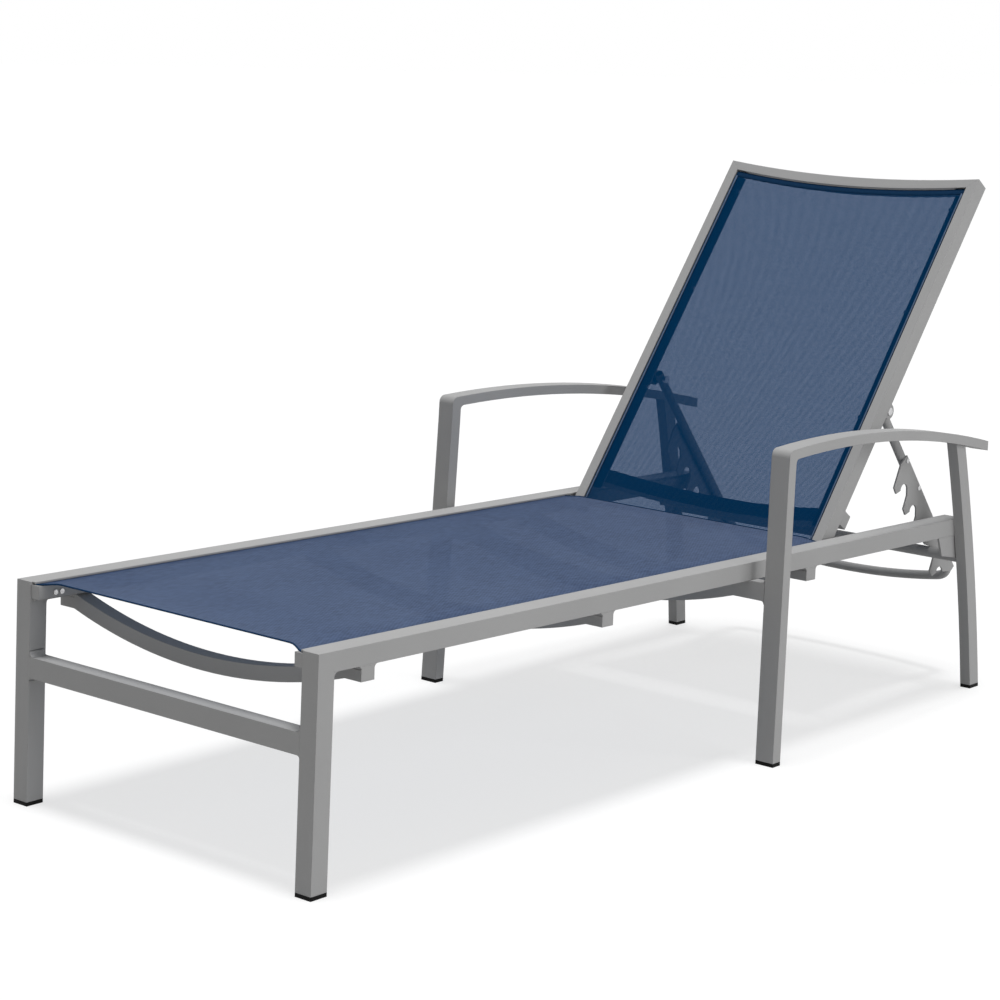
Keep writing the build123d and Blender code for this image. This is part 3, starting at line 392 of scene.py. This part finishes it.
# The seat sling's colour carries a painted sheen: its tones are lighter than the back's, though both slings are
# the same navy fabric
seat_mesh = woven_mesh("seat_mesh", turn=-RAIL_FALL, tones=SEAT_TONES_WITH_PAINTED_SHEEN, openness=0.06, glow=0.35,
                       slub_shape=(400.0, 70.0, 1.0), slub_depth=0.2)
back_mesh = woven_mesh("back_mesh", turn=BACK_ANGLE, tones=BACK_TONES, openness=0.52, glow=0.0,
                       slub_shape=(130.0, 300.0, 1.0), slub_depth=0.04)
hem = hem_cloth("hem_cloth", HEM_TONES)
# The seam cloth is the hem material with much lighter tones, a painted highlight along the side beads
seam = hem_cloth("seam_cloth", BEAD_TONES_WITH_PAINTED_HIGHLIGHT)

node_materials = {
    "frame_coating": coating,
    "fasteners": fastener,
    "black_plastic": plastic,
    "sling_rods": plastic,
    "seat_mesh": seat_mesh,
    "back_mesh": back_mesh,
}
for part in frame["record"]["subparts"]:
    dress(frame["nodes"][part["node"]], node_materials[part["material_slot"]])


# Slings


def add_mesh(name, points, faces, material):
    """A smooth mesh object."""
    mesh = bpy.data.meshes.new(name)
    mesh.from_pydata(points, [], faces)
    mesh.polygons.foreach_set("use_smooth", [True] * len(mesh.polygons))
    mesh.update()
    obj = bpy.data.objects.new(name, mesh)
    bpy.context.scene.collection.objects.link(obj)
    dress(obj, material)
    return obj


def sheet_mesh(name, matrix, surface, grid, material):
    """A sheet of columns by rows faces through surface(u, v), with both shares from 0 to 1."""
    columns, rows = grid
    points = [matrix @ Vector(surface(i / columns, j / rows))
              for j in range(rows + 1) for i in range(columns + 1)]
    step = columns + 1
    faces = [(j * step + i, j * step + i + 1, (j + 1) * step + i + 1, (j + 1) * step + i)
             for j in range(rows) for i in range(columns)]
    return add_mesh(name, points, faces, material)


def smooth(value):
    """A smooth step from 0 to 1."""
    value = min(max(value, 0.0), 1.0)
    return value * value * (3 - 2 * value)


def seat_level(x):
    """The seat sling's height over the rail tops: it dips into the tracks at both sides."""
    share = smooth((SEAT_MOUTH - abs(x)) / (SEAT_MOUTH - SEAT_FLAT))
    return SEAT_EDGE_LEVEL + (SEAT_LEVEL - SEAT_EDGE_LEVEL) * share


def seat_front(x):
    """The seat sling's front edge: it is drawn in between the two tracks."""
    share = smooth((SEAT_SIDE - abs(x)) / (SEAT_SIDE - SEAT_FLAT))
    return SEAT_CORNER + (SEAT_START - SEAT_CORNER) * share


def seat_surface(u, v):
    """A point of the seat sling."""
    x = SEAT_SIDE * (2 * u - 1)
    start = seat_front(x)
    return x, start + (SEAT_END - start) * v, seat_level(x)


def back_level(x):
    """The back sling is flat."""
    return BACK_LEVEL


def back_top(x):
    """The back sling's top edge, which runs parallel to the curved top rail."""
    inside = max(1 - (x / BACK_INNER) ** 2, 0.0)
    return BACK_END - BACK_SAG * inside


def back_surface(u, v):
    """A point of the back sling."""
    x = BACK_SIDE * (2 * u - 1)
    return x, BACK_START + (back_top(x) - BACK_START) * v, back_level(x)


def rolled(name, matrix, line, breadth, height, material):
    """A flattened round hem along a line of points, closed at both ends."""
    sides = HEM_SIDES
    last = len(line) - 1
    up = Vector((0, 0, 1))
    points = []
    for k, place in enumerate(line):
        before = Vector(line[max(k - 1, 0)])
        after = Vector(line[min(k + 1, last)])
        side = (after - before).normalized().cross(up).normalized()
        for s in range(sides):
            angle = 2 * math.pi * s / sides
            offset = side * (math.cos(angle) * breadth / 2) + up * (math.sin(angle) * height / 2)
            points.append(matrix @ (Vector(place) + offset))
    faces = []
    for here in range(0, last * sides, sides):
        there = here + sides
        for s in range(sides):
            turned = (s + 1) % sides
            faces.append((here + s, here + turned, there + turned, there + s))
    faces.append(tuple(reversed(range(sides))))
    faces.append(tuple(range(last * sides, len(line) * sides)))
    return add_mesh(name, points, faces, material)


def line_across(side, steps, place, level):
    """A line from one side of a sling to the other."""
    xs = [side * (2 * k / steps - 1) for k in range(steps + 1)]
    return [(x, place(x), level(x)) for x in xs]


def line_beside(x, start, end, level, steps):
    """A straight line along one side of a sling."""
    return [(x, start + (end - start) * k / steps, level) for k in range(steps + 1)]


def bead_line(x):
    """The edge bead's line along one side of the back sling."""
    return line_beside(x, BACK_START, BACK_END - TOP_BAND, BEAD_LEVEL, BEAD_STEPS)


seat_sling = sheet_mesh("seat_sling_cloth", seat_matrix, seat_surface, SEAT_GRID, seat_mesh)
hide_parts("seat_sling")
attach(seat_sling, "base")

back_sling = sheet_mesh("back_sling_cloth", back_matrix, back_surface, BACK_GRID, back_mesh)
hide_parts("back_sling")
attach(back_sling, "back")

roll = 2 * HEM_RADIUS
top_side = BACK_INNER - TOP_BAND_INSET
bead_side = BACK_INNER - BEAD_INSET
seat_hem_front = line_across(SEAT_SIDE, FRONT_HEM_STEPS, lambda x: seat_front(x) + HEM_INSET, seat_level)
seat_hem_rear = line_across(SEAT_SIDE, HEM_STEPS, lambda x: SEAT_END - HEM_INSET, seat_level)
back_hem_low = line_across(BACK_SIDE, HEM_STEPS, lambda x: BACK_START + HEM_INSET, back_level)
back_hem_top = line_across(top_side, HEM_STEPS, lambda x: back_top(x) - TOP_BAND / 2, back_level)

# Each line's breadth, height and material
seat_lines = {
    "seat_hem_front": (seat_hem_front, roll, roll, hem),
    "seat_hem_rear": (seat_hem_rear, roll, roll, hem),
}
back_lines = {
    "back_hem_low": (back_hem_low, roll, roll, hem),
    "back_hem_top": (back_hem_top, TOP_BAND, TOP_BAND_THICKNESS, hem),
    "back_bead_right": (bead_line(bead_side), BEAD_BREADTH, BEAD_HEIGHT, seam),
    "back_bead_left": (bead_line(-bead_side), BEAD_BREADTH, BEAD_HEIGHT, seam),
}
for name, (line, breadth, height, material) in seat_lines.items():
    piece = rolled(name, seat_matrix, line, breadth, height, material)
    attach(piece, "base")
for name, (line, breadth, height, material) in back_lines.items():
    piece = rolled(name, back_matrix, line, breadth, height, material)
    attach(piece, "back")


# Stage: a pale floor, white to the camera but for the chaise's shadow


def stage_floor():
    """A round floor that keeps the shadow and is white elsewhere."""
    shader = Shader("floor")
    grey = shader.node("BsdfDiffuse", {"Color": FLOOR_GREY}).outputs[0]
    glow = shader.node("Emission", {"Color": WHITE, "Strength": FLOOR_GLOW}).outputs[0]
    dimmed = shader.node("BsdfDiffuse", {"Color": FLOOR_DIMMED}).outputs[0]
    bright = shader.node("AddShader", {0: dimmed, 1: glow}).outputs[0]
    shader.show(shader.node("MixShader", {0: shader.seen(), 1: grey, 2: bright}).outputs[0])
    turns = [2 * math.pi * k / FLOOR_SIDES for k in range(FLOOR_SIDES)]
    points = [(FLOOR_RADIUS * math.cos(turn), FLOOR_RADIUS * math.sin(turn), 0) for turn in turns]
    floor = add_mesh("floor", points, [tuple(range(FLOOR_SIDES))], shader.material)


def add_lamp(name, size, energy, place, target):
    """A square soft lamp aimed at a point."""
    lamp = bpy.data.lights.new(name, "AREA")
    lamp.shape = "SQUARE"
    lamp.size = size
    lamp.energy = energy
    obj = bpy.data.objects.new(name, lamp)
    bpy.context.scene.collection.objects.link(obj)
    obj.location = place
    obj.rotation_euler = (Vector(target) - Vector(place)).to_track_quat("-Z", "Y").to_euler()


def stage_light():
    """A white surround for the camera, soft grey light from all sides, a sun overhead and a large lamp."""
    world = bpy.data.worlds.new("surround")
    bpy.context.scene.world = world
    world.use_nodes = True
    sky = Nodes(world.node_tree)
    surround = world.node_tree.nodes["Background"]
    sky.put(surround.inputs["Color"], WHITE)
    strength = sky.ramp(sky.seen(), low=0.0, high=1.0, start=SURROUND_LIGHT, end=SURROUND_SEEN)
    sky.put(surround.inputs["Strength"], strength)
    sun = bpy.data.lights.new("overhead", "SUN")
    sun.energy = SUN_STRENGTH
    sun.angle = SUN_SPREAD
    bpy.context.scene.collection.objects.link(bpy.data.objects.new("overhead", sun))
    add_lamp("right_side", LAMP_SIZE, LAMP_ENERGY, LAMP_PLACE, LAMP_TARGET)


def stage_camera():
    """The camera at the photograph's place, turn and framing."""
    azimuth, elevation, roll = CAMERA_AZIMUTH, CAMERA_ELEVATION, CAMERA_ROLL
    toward = Vector((math.sin(azimuth) * math.cos(elevation), -math.cos(azimuth) * math.cos(elevation),
                     math.sin(elevation)))
    right = (-toward).cross(Vector((0, 0, 1))).normalized()
    up = right.cross(-toward)
    turned_right = right * math.cos(roll) + up * math.sin(roll)
    turned_up = up * math.cos(roll) - right * math.sin(roll)
    data = bpy.data.cameras.new("camera")
    data.sensor_width = SENSOR
    data.lens = FOCAL_PIXELS * SENSOR / IMAGE
    data.shift_x = (IMAGE / 2 - CENTRE_X) / IMAGE
    data.shift_y = (CENTRE_Y - IMAGE / 2) / IMAGE
    data.clip_end = CAMERA_REACH
    obj = bpy.data.objects.new("camera", data)
    bpy.context.scene.collection.objects.link(obj)
    rotation = Matrix((turned_right, turned_up, toward)).transposed().to_4x4()
    obj.matrix_world = Matrix.Translation(CAMERA_PLACE + Vector((0, front, 0))) @ rotation
    bpy.context.scene.camera = obj


stage_floor()
stage_light()
stage_camera()
bpy.context.scene.view_settings.view_transform = "Standard"
